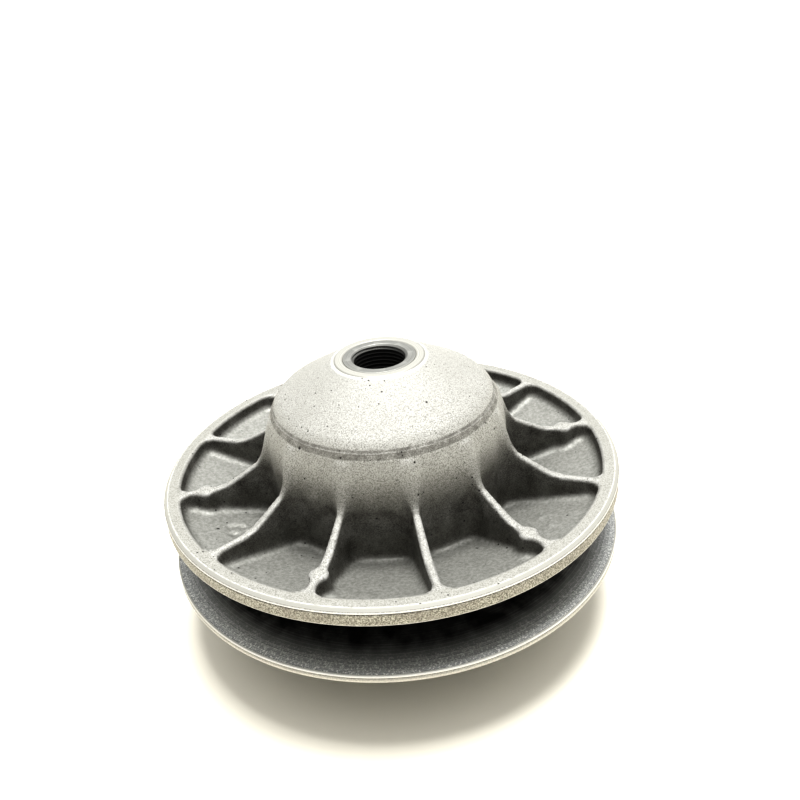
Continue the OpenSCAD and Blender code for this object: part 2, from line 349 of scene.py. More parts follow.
def surface_net(field, r_range, z_range, cell, columns):
    """Meshes the sheet where field is 0. Returns points (r, theta, z), quads and each cell's point."""
    rs = np.arange(r_range[0], r_range[1], cell)
    zs = np.arange(z_range[0], z_range[1], cell)
    turn = 2 * math.pi / columns
    r, t, z = np.meshgrid(rs, np.arange(columns) * turn, zs, indexing="ij")
    values = field(r, t, z)
    share, active = crossings(values)
    cells = np.argwhere(active)
    index = np.full(active.shape, -1)
    index[active] = np.arange(len(cells))
    p = cells + share[:, active].T
    p = np.stack([rs[0] + cell * p[:, 0], turn * p[:, 1], zs[0] + cell * p[:, 2]], axis=1)
    p = settle(field, p)
    return p, face_out(p, net_quads(values, index), field), index


def level_ring(p, ring):
    """Makes an edge ring round and even, so that turned surfaces can carry on from it."""
    p[ring, 0] = p[ring, 0].mean()
    p[ring, 1] = (np.arange(len(ring)) + 0.5) * 2 * math.pi / len(ring)
    p[ring, 2] = p[ring, 2].mean()
    return p[ring[0]]


# ---- Lathe work ----
def arc(x, z, r, start, end, steps):
    """Points on an arc, angles in degrees."""
    angles = np.radians(np.linspace(start, end, steps + 1))
    return [(x + r * math.cos(a), z + r * math.sin(a)) for a in angles]


def spaced(points, longest, guard=0.5):
    """The same outline with long stretches cut up, and with a guard point close to each of their ends,
    so that what is stored at an edge stays near it."""
    out = [points[0]]
    for a, b in zip(points[:-1], points[1:]):
        length = math.dist(a, b)
        pieces = math.ceil(length / longest)
        stops = [k / pieces for k in range(1, pieces)] if pieces > 1 else []
        if length > 4 * guard:
            stops = [guard / length] + stops + [1 - guard / length]
        out += [(a[0] + (b[0] - a[0]) * k, a[1] + (b[1] - a[1]) * k) for k in stops + [1]]
    return out


def rounded(corners, default=0.4, steps=3):
    """An open outline with rounded corners. A corner is (r, z) or (r, z, radius); the ends stay."""
    out = [tuple(corners[0][:2])]
    for before, here, after in zip(corners[:-2], corners[1:-1], corners[2:]):
        p = np.array(here[:2], float)
        u, v = np.array(before[:2]) - p, np.array(after[:2]) - p
        lu, lv = np.linalg.norm(u), np.linalg.norm(v)
        u, v = u / lu, v / lv
        half = math.acos(max(-1, min(1, float(u @ v)))) / 2
        r = here[2] if len(here) > 2 else default
        if r == 0 or half > math.radians(89):
            out.append(tuple(p))
            continue
        cut = min(r / math.tan(half), 0.45 * lu, 0.45 * lv)
        r = cut * math.tan(half)
        centre = p + (u + v) / np.linalg.norm(u + v) * r / math.sin(half)
        a, b = p + u * cut - centre, p + v * cut - centre
        for k in range(steps + 1):
            w = a + (b - a) * k / steps
            out.append(tuple(centre + w / np.linalg.norm(w) * r))
    out.append(tuple(corners[-1][:2]))
    return out


def closed_loop(corners, default=0.4, steps=3):
    """A closed outline with rounded corners. Its first and last point are the same."""
    first = ((corners[0][0] + corners[-1][0]) / 2, (corners[0][1] + corners[-1][1]) / 2)
    return rounded([first] + list(corners) + [first], default, steps)


def ring_points(outline, columns, shift=0.5):
    """One ring of points (r, theta, z) for each point of an outline."""
    theta = (np.arange(columns) + shift) * 2 * math.pi / columns
    return np.concatenate([
        np.stack([np.full(columns, r), theta, np.full(columns, z)], axis=1) for r, z in outline])


def ring_rows(count, columns, first=0):
    """The point numbers of rings that follow one another."""
    return [first + k * columns + np.arange(columns) for k in range(count)]


def capped(rings):
    """Quads between rings, with a flat face over each end."""
    return strip(rings).tolist() + [rings[0].tolist(), rings[-1][::-1].tolist()]


def strip(rings):
    """Quads between neighbouring rings of point numbers."""
    pairs = zip(rings[:-1], rings[1:])
    return np.concatenate([
        np.stack([a, np.roll(a, -1), np.roll(b, -1), b], axis=1) for a, b in pairs])


def grid_quads(rows, columns):
    """Quads over an open grid of points."""
    k = np.arange(rows * columns).reshape(rows, columns)
    around = (k[:-1, :-1], k[:-1, 1:], k[1:, 1:], k[1:, :-1])
    return np.stack([c.ravel() for c in around], axis=1)


def store(mesh, name, values):
    """Keeps one number for each point, for the finishes to read."""
    mesh.attributes.new(name, "FLOAT", "POINT").data.foreach_set("value", values.astype(np.float32))


def read_rows(items, name, width=3, kind=float):
    """One property of a mesh's points or edges, a row for each."""
    values = np.empty(len(items) * width, kind)
    items.foreach_get(name, values)
    return values.reshape(-1, width)


def mark_bulge_for_wear_and_painted_light(mesh, rounds=3):
    """Stores how sharply each point bulges or is hollow, per millimetre, which the finishes use for wear and
    for painted highlights and shade.
    """
    count = len(mesh.vertices)
    co = read_rows(mesh.vertices, "co") / MM
    normal = read_rows(mesh.vertices, "normal")
    a, b = read_rows(mesh.edges, "vertices", 2, int).T
    gap = co[a] - co[b]
    length = np.maximum((gap * gap).sum(axis=1), 1e-4)
    bend = np.bincount(a, 2 * (gap * normal[a]).sum(axis=1) / length, count)
    bend += np.bincount(b, -2 * (gap * normal[b]).sum(axis=1) / length, count)
    near = np.maximum(np.bincount(a, minlength=count) + np.bincount(b, minlength=count), 1)
    bend /= near
    pull = np.minimum(1, 1 / length)
    for _ in range(rounds):
        drift = (bend[b] - bend[a]) * pull
        bend += 0.5 * (np.bincount(a, drift, count) - np.bincount(b, drift, count)) / near
    store(mesh, "bulge", bend)


def piece(name, xyz, faces, body, nodes, finish, slot, weld=False, place=None):
    """A mesh from points in millimetres, riding on its body and standing for its CAD nodes."""
    if place:
        xyz = place(xyz)
    mesh = bpy.data.meshes.new(name)
    faces = faces if isinstance(faces, list) else faces.tolist()
    mesh.from_pydata((np.asarray(xyz) * MM).tolist(), [], faces)
    if weld:
        work = bmesh.new()
        work.from_mesh(mesh)
        bmesh.ops.remove_doubles(work, verts=work.verts, dist=0.002 * MM)
        bmesh.ops.dissolve_degenerate(work, edges=work.edges, dist=0.001 * MM)
        bmesh.ops.recalc_face_normals(work, faces=work.faces)
        work.to_mesh(mesh)
        work.free()
    mesh.polygons.foreach_set("use_smooth", [True] * len(mesh.polygons))
    mesh.update()
    obj = bpy.data.objects.new(name, mesh)
    bpy.context.scene.collection.objects.link(obj)
    for material in finish:
        mesh.materials.append(material)
    mark_bulge_for_wear_and_painted_light(mesh)
    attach(obj, body)
    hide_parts(*nodes)
    return obj


def turned(name, outline, body, node, finish, slot, columns=144, place=None):
    """A piece turned from a closed outline, or from one that starts and ends on the axis."""
    xyz = to_xyz(ring_points(outline, columns))
    faces = strip(ring_rows(len(outline), columns))
    piece(name, xyz, faces, body, [node], [finish], slot, weld=True, place=place)


def at_pin(k):
    """Puts a piece turned about Z onto the k-th roller pin's line, Z pointing outwards."""
    angle = STATION + k * THIRD
    cos, sin = math.cos(angle), math.sin(angle)

    def place(xyz):
        across, up, out = xyz.T
        return np.stack([out * cos - across * sin, out * sin + across * cos, up + PIN_Z], axis=1)
    return place


# ---- Finishes ----
class Finish:
    """Builds one procedural material out of small steps."""

    def __init__(self, name):
        self.material = bpy.data.materials.new(name)
        self.material.use_nodes = True
        self.tree = self.material.node_tree
        self.shader = self.tree.nodes["Principled BSDF"]
        self.place = self.node("ShaderNodeTexCoord").outputs["Object"]

    def node(self, kind, **settings):
        made = self.tree.nodes.new(kind)
        for key, value in settings.items():
            setattr(made, key, value)
        return made

    def link(self, value, socket):
        if isinstance(value, bpy.types.NodeSocket):
            self.tree.links.new(value, socket)
        else:
            socket.default_value = value

    def math(self, operation, a, b=0.0):
        made = self.node("ShaderNodeMath", operation=operation)
        self.link(a, made.inputs[0])
        self.link(b, made.inputs[1])
        return made.outputs[0]

    def noise(self, size_mm, detail=3.0, rough=0.55):
        made = self.node("ShaderNodeTexNoise")
        self.link(self.place, made.inputs["Vector"])
        made.inputs["Scale"].default_value = 1 / (size_mm * MM)
        made.inputs["Detail"].default_value = detail
        made.inputs["Roughness"].default_value = rough
        return made.outputs["Fac"]

    def band(self, value, low, high, start=0.0, end=1.0):
        """Maps value from low..high to start..end, held at the ends."""
        made = self.node("ShaderNodeMapRange")
        for socket, number in zip(made.inputs, (value, low, high, start, end)):
            self.link(number, socket)
        return made.outputs["Result"]

    def spots(self, spacing_mm, share, size):
        """Round specks: 1 inside one. share is how many cells have one, size its radius in cells."""
        made = self.node("ShaderNodeTexVoronoi")
        self.link(self.place, made.inputs["Vector"])
        made.inputs["Scale"].default_value = 1 / (spacing_mm * MM)
        pick = self.node("ShaderNodeSeparateColor")
        self.link(made.outputs["Color"], pick.inputs[0])
        chosen = self.math("LESS_THAN", pick.outputs[0], share)
        reach = self.math("MULTIPLY", pick.outputs[1], size)
        edge = self.math("SUBTRACT", reach, made.outputs["Distance"])
        return self.math("MULTIPLY", chosen, self.band(edge, 0.0, 0.08))

    def mix(self, share, a, b):
        made = self.node("ShaderNodeMix", data_type="RGBA")
        self.link(share, made.inputs[0])
        self.link(a if isinstance(a, bpy.types.NodeSocket) else (*a, 1), made.inputs[6])
        self.link(b if isinstance(b, bpy.types.NodeSocket) else (*b, 1), made.inputs[7])
        return made.outputs[2]

    def attribute(self, name):
        return self.node("ShaderNodeAttribute", attribute_name=name).outputs["Fac"]

    def bulge(self):
        return self.attribute("bulge")

    def along(self, axis):
        split = self.node("ShaderNodeSeparateXYZ")
        self.link(self.place, split.inputs[0])
        return split.outputs["XYZ".index(axis)]

    def radius(self):
        """Distance from the pulley's axis, in metres."""
        x, y = self.along("X"), self.along("Y")
        total = self.math("ADD", self.math("MULTIPLY", x, x), self.math("MULTIPLY", y, y))
        return self.math("SQRT", total)

    def marks(self, value, pitch_mm):
        """Fine tool marks that follow one value, such as the radius."""
        made = self.node("ShaderNodeTexNoise", noise_dimensions="1D")
        self.link(value, made.inputs["W"])
        made.inputs["Scale"].default_value = 1 / (pitch_mm * MM)
        made.inputs["Detail"].default_value = 4
        return made.outputs["Fac"]

    def bump(self, value, depth_mm):
        made = self.node("ShaderNodeBump")
        made.inputs["Distance"].default_value = depth_mm * MM
        self.link(value, made.inputs["Height"])
        self.tree.links.new(made.outputs[0], self.shader.inputs["Normal"])

    def set(self, colour, roughness, metallic=0.0):
        self.link(colour, self.shader.inputs["Base Color"])
        self.link(roughness, self.shader.inputs["Roughness"])
        self.link(metallic, self.shader.inputs["Metallic"])
        return self.material


def cast_aluminium():
    """Blasted casting: fine grain, dark pits, darker smooth pockets, hollows darker in patches, bright worn
    edges, painted shade on steep faces low in the pockets and painted light towards the dome's top.
    """
    f = Finish("cast_aluminium")
    grain = f.noise(0.6, 3, 0.8)
    coarse = f.noise(1.6, 4, 0.6)
    colour = f.mix(f.band(grain, 0.40, 0.58), (0.15, 0.148, 0.13), (0.52, 0.515, 0.485))
    colour = f.mix(f.band(coarse, 0.35, 0.65, 0.0, 0.5), colour, (0.42, 0.415, 0.385))
    colour = f.mix(f.band(f.noise(22), 0.35, 0.7, 0.0, 0.3), colour, (0.29, 0.285, 0.255))
    colour = f.mix(f.band(f.radius(), 0.1062, 0.1075, 0.0, 0.4), colour, (0.27, 0.265, 0.23))
    pocket = f.mix(f.band(coarse, 0.36, 0.64), (0.19, 0.19, 0.172), (0.30, 0.30, 0.277))
    soiled = f.math("MULTIPLY", f.attribute("soil"), f.band(f.noise(7, 4), 0.3, 0.7, 0.8, 1.0))
    colour = f.mix(soiled, colour, pocket)
    # Steep faces low in the pockets are darkened: painted shade.
    painted_shade = f.math("MULTIPLY", f.attribute("shade"), f.band(f.noise(9, 4), 0.3, 0.7, 0.6, 1.0))
    dark = f.mix(f.band(grain, 0.40, 0.62), (0.035, 0.033, 0.028), (0.11, 0.105, 0.09))
    colour = f.mix(painted_shade, colour, dark)
    # Hollows darker in patches.
    hollow = f.band(f.bulge(), -0.10, -0.45)
    darker_in_hollows = f.math("MULTIPLY", hollow, f.band(f.noise(5, 4, 0.7), 0.3, 0.6, 0.1, 0.7))
    colour = f.mix(darker_in_hollows, colour, (0.07, 0.065, 0.055))
    patchy = f.band(f.noise(2.5), 0.35, 0.6, 0.2, 0.8)
    colour = f.mix(f.math("MULTIPLY", f.band(f.bulge(), 0.14, 0.6), patchy), colour, (0.72, 0.72, 0.69))
    # Lighter towards the dome's top: painted light from overhead.
    high = f.band(f.along("Z"), 0.115, 0.137, 0.0, 0.3)
    colour = f.mix(high, colour, (0.52, 0.515, 0.48))
    pits = f.math("MAXIMUM", f.spots(2.4, 0.25, 0.26), f.spots(6.5, 0.22, 0.16))
    colour = f.mix(pits, colour, (0.03, 0.028, 0.025))
    f.bump(f.math("SUBTRACT", grain, pits), 0.18)
    smooth = f.band(f.attribute("soil"), 0.0, 1.0, 0.0, -0.2)
    metallic = f.band(f.attribute("soil"), 0.0, 1.0, 0.3, 0.4)
    return f.set(colour, f.math("ADD", f.band(grain, 0.3, 0.7, 0.72, 0.58), smooth), metallic)


def rim_side():
    """The rim's outer band: turned, browned and densely speckled, with painted highlights on its edges,
    painted shade in its groove and painted light on the lower sheave's band.
    """
    f = Finish("rim_side")
    specks = f.noise(0.7, 3, 0.75)
    colour = f.mix(f.band(specks, 0.42, 0.62), (0.13, 0.12, 0.098), (0.54, 0.525, 0.455))
    colour = f.mix(f.band(f.noise(9, 3), 0.4, 0.7, 0.0, 0.5), colour, (0.22, 0.20, 0.175))
    # The lower sheave's band is lighter: painted light, lifting a band that faces the shadowed floor.
    lower = f.band(f.along("Z"), MOVING_TOP * MM, (MOVING_TOP + 2) * MM, 0.5, 0.0)
    colour = f.mix(lower, colour, (0.66, 0.635, 0.57))
    # Convex edges lighter: painted highlight.
    colour = f.mix(f.band(f.bulge(), 0.3, 1.2, 0.0, 0.9), colour, (0.85, 0.84, 0.80))
    # Hollows such as the groove are near black: painted shade.
    colour = f.mix(f.band(f.bulge(), -0.3, -1.0, 0.0, 0.95), colour, (0.03, 0.028, 0.025))
    f.bump(specks, 0.08)
    return f.set(colour, f.band(specks, 0.3, 0.7, 0.6, 0.45), 0.45)


def spot_face():
    """Fresh-turned aluminium: fine rings, faintly yellowed, with painted shade in its groove."""
    f = Finish("spot_face")
    marks = f.marks(f.radius(), 0.45)
    colour = f.mix(f.band(marks, 0.35, 0.65), (0.33, 0.325, 0.292), (0.47, 0.465, 0.425))
    colour = f.mix(f.band(f.noise(0.8, 3, 0.7), 0.58, 0.66, 0.0, 0.6), colour, (0.40, 0.39, 0.35))
    # Hollows such as the groove are near black: painted shade.
    colour = f.mix(f.band(f.bulge(), -0.3, -1.0, 0.0, 0.95), colour, (0.05, 0.045, 0.04))
    f.bump(marks, 0.03)
    return f.set(colour, f.band(marks, 0.3, 0.7, 0.42, 0.55), 0.3)


def machined(name, tint, pitch_mm, smooth=0.26, metallic=1.0, bore_r=0.0):
    """Turned metal with tool marks round the axis, faint stains and, inside bore_r, painted shade that
    deepens down the bore.
    """
    f = Finish(name)
    marks = f.marks(f.math("ADD", f.radius(), f.along("Z")), pitch_mm)
    dark = tuple(0.72 * c for c in tint)
    colour = f.mix(f.band(marks, 0.35, 0.65), dark, tint)
    stain = tuple(c * max(tint) for c in (0.45, 0.44, 0.41))
    colour = f.mix(f.band(f.noise(14, 4), 0.5, 0.75, 0.0, 0.35), colour, stain)
    worn = f.band(f.bulge(), 0.2, 0.8, 0.0, 0.6)
    colour = f.mix(worn, colour, tuple(min(1, 1.25 * c) for c in tint))
    # Near black down inside bore_r: painted shade in the bore.
    painted_bore_shade = f.math("MULTIPLY", f.band(f.radius(), (bore_r + 0.3) * MM, (bore_r - 0.5) * MM),
                  f.band(f.along("Z"), (DOME_TOP - 0.8) * MM, (DOME_TOP - 3) * MM, 0.0, 0.92))
    colour = f.mix(painted_bore_shade, colour, (0.012, 0.011, 0.010))
    f.bump(marks, 0.02)
    return f.set(colour, f.band(f.noise(3), 0.3, 0.7, smooth, smooth + 0.16), metallic)


def belt_face():
    """Machined belt face, darkened by belt dust and painted shade towards the hub, with pale specks towards
    the rim as painted light.
    """
    f = Finish("belt_face")
    marks = f.marks(f.radius(), 0.6)
    colour = f.mix(f.band(marks, 0.35, 0.65), (0.23, 0.235, 0.23), (0.37, 0.375, 0.365))
    # Pale specks weighted towards the rim: painted light where light reaches the face's outer edge.
    painted_rim_light = f.band(f.radius(), 0.103, 0.113, 0.1, 0.9)
    specks = f.band(f.noise(0.9, 4, 0.75), 0.52, 0.6)
    colour = f.mix(f.math("MULTIPLY", specks, painted_rim_light), colour, (0.75, 0.75, 0.72))
    # Near black towards the hub: belt dust and painted shade between the sheaves.
    patchy = f.band(f.noise(9, 4), 0.3, 0.6, 0.7, 1.0)
    dust_and_painted_shade = f.math("MULTIPLY", f.band(f.radius(), 0.111, 0.099), patchy)
    colour = f.mix(dust_and_painted_shade, colour, (0.016, 0.015, 0.014))
    f.bump(marks, 0.03)
    return f.set(colour, 0.48, 0.7)


def anodised_cam():
    """Hard-anodised cast cam, dark and satin, rubbed bright along its edges."""
    f = Finish("cam_anodised")
    grain = f.noise(1.2, 4, 0.65)
    colour = f.mix(f.band(grain, 0.35, 0.65), (0.13, 0.13, 0.125), (0.22, 0.22, 0.21))
    rubbed = f.math("MULTIPLY", f.band(f.bulge(), 0.15, 0.5), f.band(grain, 0.4, 0.6, 0.1, 0.9))
    colour = f.mix(rubbed, colour, (0.6, 0.6, 0.58))
    colour = f.mix(f.band(f.bulge(), -0.05, -0.3, 0, 0.7), colour, (0.05, 0.045, 0.04))
    f.bump(grain, 0.06)
    return f.set(colour, f.band(grain, 0.3, 0.7, 0.5, 0.38), 0.7)


def mottled(name, grain, low, high, dark, light, rough, metallic=0.0, over=None, bump_mm=0.02,
            bump_grain=None):
    """Two tones of one grain. over is (noise, or None for worn edges; low, high, share, colour)."""
    f = Finish(name)
    skin = f.noise(*grain)
    colour = f.mix(f.band(skin, low, high), dark, light)
    if over:
        pattern, first, last, share, tone = over
        value = f.noise(*pattern) if pattern else f.bulge()
        colour = f.mix(f.band(value, first, last, 0.0, share), colour, tone)
    f.bump(f.noise(*bump_grain) if bump_grain else skin, bump_mm)
    return f.set(colour, f.band(skin, 0.3, 0.7, *rough), metallic)


def nylon(name, light, dark):
    """Moulded nylon with flow mottling and greasy smears."""
    smear = tuple(0.45 * c for c in dark)
    return mottled(name, (4, 4, 0.6), 0.35, 0.65, dark, light, (0.34, 0.5),
                   over=((11, 5, 0.65), 0.55, 0.75, 0.5, smear), bump_mm=0.015, bump_grain=(0.4, 2))


CAST = cast_aluminium()
SPOT = spot_face()
RIM_SIDE = rim_side()
BELT = belt_face()
CUP = machined("turned_aluminium", (0.66, 0.66, 0.65), 0.7)
CAM = anodised_cam()
POST_STEEL = machined("post_steel", (0.29, 0.29, 0.27), 0.5, smooth=0.40, metallic=0.6, bore_r=14.0)
BRIGHT = machined("bright_steel", (0.60, 0.60, 0.59), 0.3, smooth=0.18)
BLACK = mottled("black_oxide", (1.1, 4, 0.6), 0.35, 0.65, (0.025, 0.024, 0.024), (0.065, 0.058, 0.052),
                (0.3, 0.45), 0.9, over=(None, 0.4, 1.2, 0.7, (0.34, 0.33, 0.32)))
SPRING = mottled("spring_coating", (0.7, 3), 0.35, 0.65, (0.012, 0.012, 0.013), (0.03, 0.03, 0.032),
                 (0.34, 0.5), 0.2, over=((2.2, 5, 0.7), 0.62, 0.7, 1.0, (0.22, 0.21, 0.2)), bump_mm=0.05)
BRONZE = mottled("sintered_bronze", (0.35, 4, 0.75), 0.38, 0.6, (0.16, 0.09, 0.035), (0.56, 0.36, 0.15),
                 (0.5, 0.3), 1.0, over=((6,), 0.4, 0.7, 0.5, (0.26, 0.15, 0.06)), bump_mm=0.04)
WHITE_NYLON = nylon("white_nylon", (0.74, 0.71, 0.62), (0.60, 0.56, 0.46))
BLACK_NYLON = nylon("black_nylon", (0.022, 0.022, 0.022), (0.012, 0.012, 0.012))
ROLLER_NYLON = nylon("roller_nylon", (0.05, 0.05, 0.052), (0.026, 0.026, 0.028))
FELT = mottled("oiled_felt", (0.3, 6, 0.8), 0.3, 0.7, (0.02, 0.018, 0.015), (0.11, 0.1, 0.085),
               (0.75, 0.95), bump_mm=0.2)


# ---- The two castings ----
NET_END = 110.2
WALL_TOP = 26.0
BELT_FACE, BRIGHT_FACE, RIM_BAND = 1, 2, 3


def casting(node, body, face, r_range, z_range, outline, base, flip, cell, columns):
    """A sheave: its ribbed side as a net, and the rest of its skin turned from an outline.

    The outline runs from the rim round the plain side to the hub, in heights of the ribbed side.
    flip is 1 when the ribs face up, and the net then ends in the hub's wall, or -1 when they face down."""
    p, quads, index = surface_net(face.field, r_range, z_range, cell, columns)
    every = np.arange(columns)
    outer = index[-1][every, np.argmax(index[-1] >= 0, axis=1)]
    if flip > 0:
        inner = index[:, :, -1][np.argmax(index[:, :, -1] >= 0, axis=0), every]
    else:
        inner = index[0][every, np.argmax(index[0] >= 0, axis=1)]
    first, last = level_ring(p, outer), level_ring(p, inner)
    path = spaced([(first[0], first[2])] + outline + [(last[0], last[2])], 12.0)[1:-1]
    skin = strip([outer] + ring_rows(len(path), columns, len(p)) + [inner])[:, ::-1]
    polar = np.concatenate([p, ring_points(path, columns)])
    faces = np.concatenate([quads, skin])
    middle = polar[faces].mean(axis=1)
    r, z = middle[:, 0], middle[:, 2]
    kind = np.zeros(len(faces), int)
    kind[(r > LAND_R) & (r < SHEAVE_R - 1) & (z < face.floor(r) - WEB_T + 0.6)] = BELT_FACE
    kind[(r < SPOT_R) & (z > DOME_H - 1)] = BRIGHT_FACE
    kind[r > SHEAVE_R - 1.9] = BRIGHT_FACE
    kind[r > SHEAVE_R - 0.35] = RIM_BAND
    xyz = to_xyz(polar)
    xyz[:, 2] = base + flip * xyz[:, 2]
    if flip < 0:
        faces = faces[:, ::-1]
    finishes = [CAST, BELT, SPOT, RIM_SIDE]
    made = piece(node + "_casting", xyz, faces, body, [node], finishes, "cast_aluminium")
    made.data.polygons.foreach_set("material_index", kind)
    depth = np.where(polar[:, 0] < SHEAVE_R - 1.2, -polar[:, 2], 0)
    upright = flip * read_rows(made.data.vertices, "normal")[:, 2]
    steep = np.clip((0.75 - upright) / 0.35, 0, 1)
    low = np.clip((WALL_TOP - polar[:, 2]) / 18, 0, 1)
    store(made.data, "soil", np.clip((depth - 1) / 5, 0, 1))
    # shade marks steep faces low in the pockets, which the cast finish darkens as painted shade.
    store(made.data, "shade", low * steep * (polar[:, 0] < SHEAVE_R - 1.2))


# ---- Fixed sheave: a dome of a wall, a broad shoulder arc, a brow arc and a cone up to the spot face ----
SHOULDER_R, SHOULDER_TURN, BROW_R, CROWN = 44.0, 27.0, 14.0, 60.0
DIAL_AT = (84.5, 194.5)
MARK_AT = (84.0, 317.5)
DOME_H = DOME_TOP - RIM_TOP
BROW_X = DOME_R - SHOULDER_R + (SHOULDER_R - BROW_R) * math.cos(math.radians(SHOULDER_TURN))
BROW_END = BROW_X + BROW_R * math.cos(math.radians(CROWN))
BROW_Z = (DOME_H - BROW_R * math.sin(math.radians(CROWN))
          - (BROW_END - SPOT_R) / math.tan(math.radians(CROWN)))
SHOULDER_Z = BROW_Z - (SHOULDER_R - BROW_R) * math.sin(math.radians(SHOULDER_TURN))


def dome_hub(r, z):
    """Distance to the dome's wall and shoulder."""
    shoulder = np.hypot(r - (DOME_R - SHOULDER_R), z - SHOULDER_Z) - SHOULDER_R
    return np.where(z < SHOULDER_Z, r - DOME_R, shoulder)


def dome_outline(inset, start_angle, steps=8):
    """The dome's outline from an angle on its shoulder to the spot face."""
    x = DOME_R - SHOULDER_R
    line = arc(x, SHOULDER_Z, SHOULDER_R - inset, start_angle, SHOULDER_TURN, steps)
    return line + arc(BROW_X, BROW_Z, BROW_R - inset, SHOULDER_TURN + 4, CROWN, steps)


def spot_at(r, theta, place_r, degrees):
    """Offsets in plan from a spot on a web: outwards and round."""
    turn = nearest(theta - math.radians(degrees), 2 * math.pi)
    return r * np.cos(turn) - place_r, r * np.sin(turn)


def date_dial(r, theta, z):
    """A shallow round recess in one web with a plain pip left standing in it, as a mould dial leaves."""
    x, y = spot_at(r, theta, *DIAL_AT)
    away = np.hypot(x, y)
    recess = np.maximum(away - 5.2, belt_height(FIXED_RIM, r) + WEB_T - 0.75 - z)
    return np.maximum(recess, np.maximum(2.4 - away, 0.9 - np.abs(y)) * 0.8)


def raised_marks(r, theta, z):
    """Two small plain bars, as left by ejector and insert marks."""
    x, y = spot_at(r, theta, *MARK_AT)
    web = belt_height(FIXED_RIM, r) + WEB_T
    first = np.maximum(np.abs(x + y) - 2.6, np.abs(x - y) - 1.0)
    second = np.maximum(np.abs(x - 6.5) - 0.9, np.abs(y + 6.5) - 1.9)
    bars = np.minimum(first, second)
    return np.maximum(np.maximum(bars, z - web - 0.7), web - 1 - z)


def fixed_sheave():
    """The domed sheave: its outline runs down the rim, in along the belt face and up inside the dome."""
    face = RibbedFace(dome_hub, FIXED_RIM, lambda z: 7.0, floor_fillet=4.0, rise=0.57,
                      crest=22.0, upturn=0.07)
    face.holes = [(date_dial, 0.3)]
    face.added = [(raised_marks, 0.4)]
    # The net hands over to the turned shoulder at this height. It lies 0.6 degrees past the end of the
    # shoulder's arc, so the outline folds back there: a known fault.
    top = 34.5
    seam_angle = math.degrees(math.asin((top + 2 - SHOULDER_Z) / SHOULDER_R))
    inside = dome_outline(DOME_WALL, 0)
    end = inside[-1]
    roof = end[1] + (end[0] - HUB_BOSS_R) / math.tan(math.radians(CROWN))
    floor = belt_height(FIXED_RIM, LAND_R)
    crown = dome_outline(0, seam_angle)[::-1]
    rim_side = [
        (SHEAVE_R - 2, 0, 0.4), (SHEAVE_R, -1.6, 0.2), (SHEAVE_R, -1.9, 0), (SHEAVE_R - 0.4, -2.0, 0),
        (SHEAVE_R - 0.4, -2.3, 0), (SHEAVE_R, -2.4, 0), (SHEAVE_R, -FIXED_RIM + 0.5, 0.3),
        (SHEAVE_R - 0.5, -FIXED_RIM, 0.3),
        (LAND_R, floor, 0.6), (DOME_R - DOME_WALL, floor, 0.8),
        (DOME_R - DOME_WALL, SHOULDER_Z, 0)]
    hub = [
        (HUB_BOSS_R, roof, 3.0), (HUB_BOSS_R, HUB_BOSS_Z - RIM_TOP, 0.8),
        (HEAD_R, HUB_BOSS_Z - RIM_TOP, 0), (HEAD_R, DOME_H - 0.4, 0), (HEAD_R + 0.35, DOME_H, 0),
        (SPOT_R - 0.6, DOME_H, 0), (SPOT_R - 0.3, DOME_H - 0.6, 0), (SPOT_R, DOME_H - 0.6, 0),
        (SPOT_R + 0.3, DOME_H - 0.2, 0.1),
        (SPOT_R + 1.5, DOME_H - 0.2 - 1.2 / math.tan(math.radians(CROWN)), 0)]
    corners = [(NET_END, 0)] + rim_side + [(*q, 0) for q in inside[1:]] + hub + [(*q, 0) for q in crown]
    casting("fixed_sheave", "fixed_half", face, (54.0, NET_END), (-24.55, top), rounded(corners)[1:],
            RIM_TOP, 1, cell=1.45, columns=396)


# ---- Moving sheave: its ribs face down, so heights are measured down from MOVING_BASE ----
MOVING_BASE = MOVING_TOP - MOVING_RIM
SCREW_AT = 50.8
PIN_BORE = 3.05


def skirt_hub(r, z):
    """Distance to the moving sheave's skirt."""
    return round_cut(r - SKIRT_R, z - (MOVING_BASE - SKIRT_Z), 0.8)


def at_station(r, theta):
    """Place along and across the nearest roller pin's line."""
    turn = nearest(theta - STATION, THIRD)
    return r * np.cos(turn), r * np.sin(turn)


def pin_boss(r, theta, z):
    x, y = at_station(r, theta)
    return round_cut(np.hypot(y, z - (MOVING_BASE - PIN_Z)) - 7, x - 58, 0.8)


def pin_hole(r, theta, z):
    x, y = at_station(r, theta)
    return np.maximum(np.hypot(y, z - (MOVING_BASE - PIN_Z)) - PIN_BORE, np.abs(x - 55) - 5)


def screw_hole(r, theta, z):
    x, y = at_station(r, theta)
    return np.maximum(np.hypot(x - SCREW_AT, y) - 1.95, 2.5 - z)


